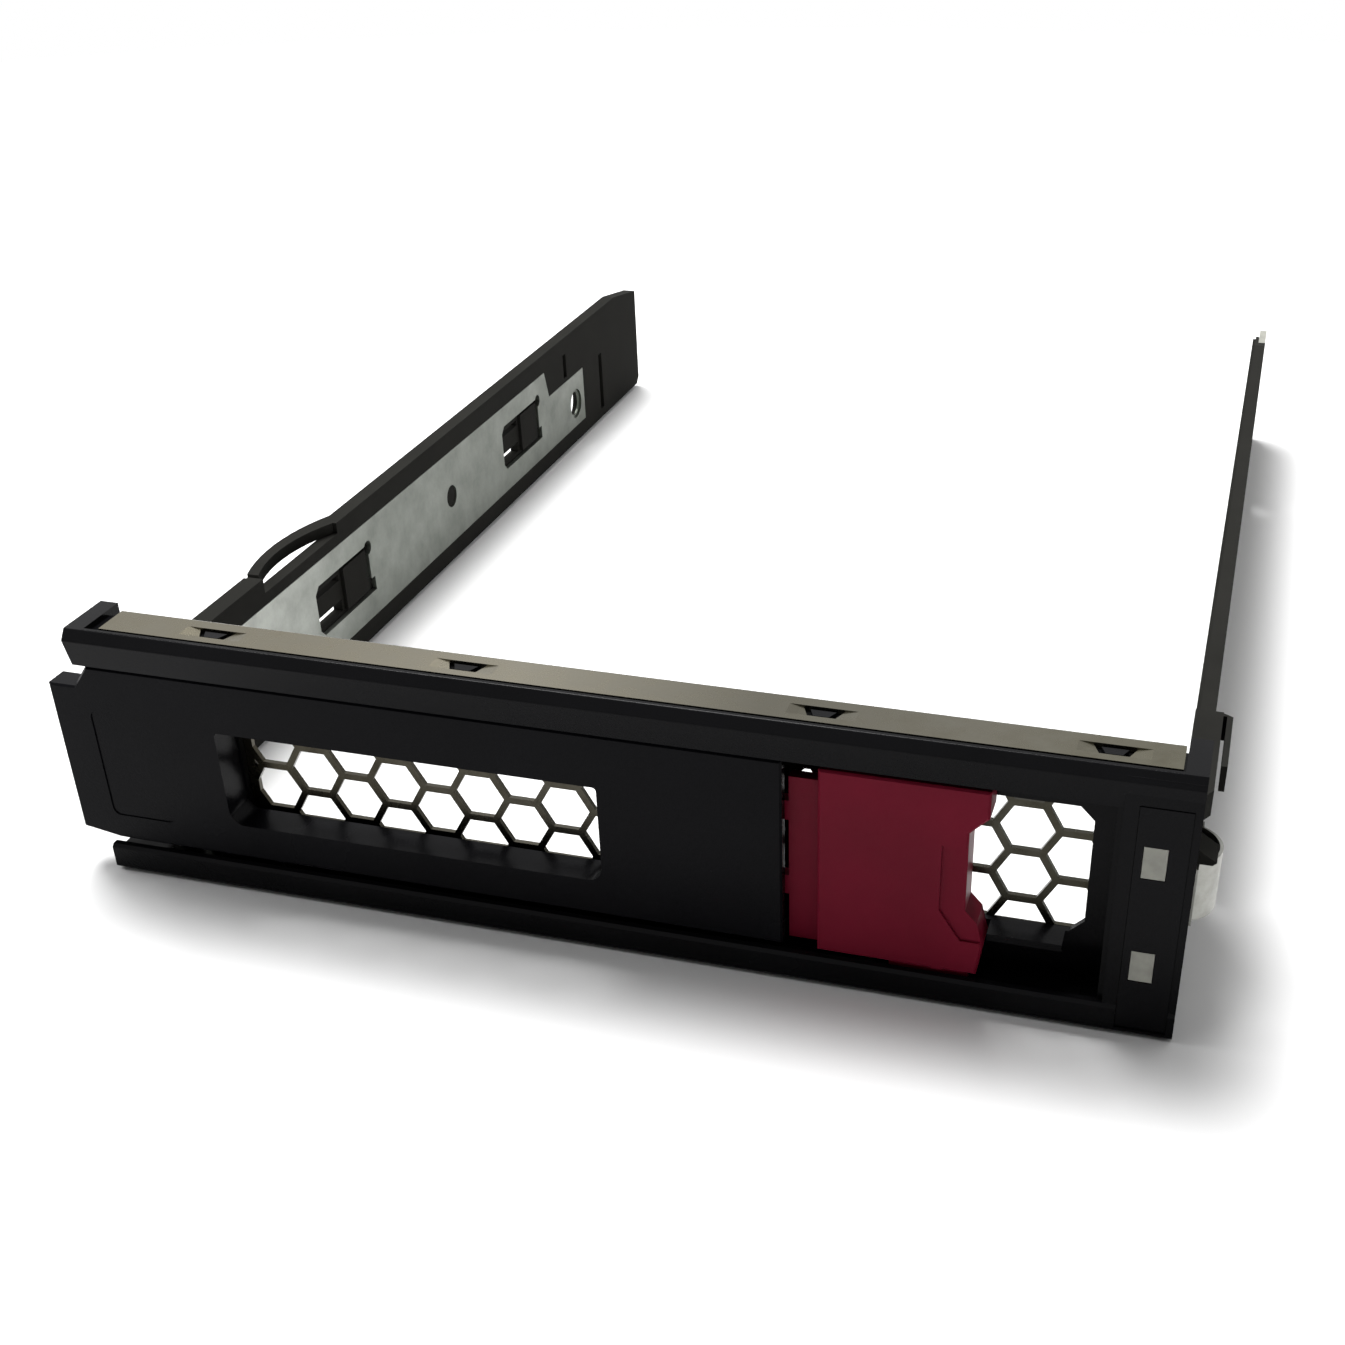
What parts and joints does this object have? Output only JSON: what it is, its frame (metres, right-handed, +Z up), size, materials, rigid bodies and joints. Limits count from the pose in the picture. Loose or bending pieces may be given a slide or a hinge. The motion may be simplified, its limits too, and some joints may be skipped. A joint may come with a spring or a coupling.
{
  "type": "hot swap drive caddy",
  "caption": "Open-frame hot swap caddy for a 3.5 inch drive: vented front bezel with ejector lever, wine red release button and two side rails.",
  "frame": {"origin": "middle of the front bezel's flat underside", "axes": "+X to the right seen from the front, +Y towards the back of the rails, +Z up"},
  "size_m": [0.1115, 0.1544, 0.0268],
  "materials": {
    "black_moulding": "fine spark-eroded texture",
    "rail_moulding": "satin",
    "wine_moulding": "satin",
    "cover_plastic": "satin",
    "clear_plastic": "clear, frosted ends",
    "shield_steel": "galvanised",
    "zinc_plate": "zinc plated",
    "spring_steel": "bright",
    "screw_steel": "zinc plated"
  },
  "bodies": {
    "carrier": {"front_bezel": "black_moulding", "emi_shield": "shield_steel", "left_rail": "rail_moulding", "right_rail": "rail_moulding", "left_rail_plate": "zinc_plate", "right_rail_plate": "zinc_plate", "light_pipe_upper": "clear_plastic", "light_pipe_lower": "clear_plastic", "indicator_cover": "cover_plastic", "right_ground_spring": "spring_steel", "lever_pivot_pin": "spring_steel", "button_spring": "spring_steel", "left_rail_screws": "screw_steel", "right_rail_screws": "screw_steel"},
    "lever": {"ejector_lever": "black_moulding", "lever_spring": "spring_steel"},
    "button": {"release_button": "wine_moulding"}
  },
  "joints": [
    {"name": "lever_hinge", "type": "hinge", "parent": "carrier", "child": "lever", "pos_m": [-0.0474, 0.00112, 0.01285], "axis": [0, 0, -1], "range_deg": [0, 40]},
    {"name": "button_slide", "type": "slide", "parent": "carrier", "child": "button", "axis": [-1, 0, 0], "range_m": [0, 0.002], "stiffness_N_per_m": 400, "springref_m": -0.002, "deforming": ["button_spring"]}
  ]
}
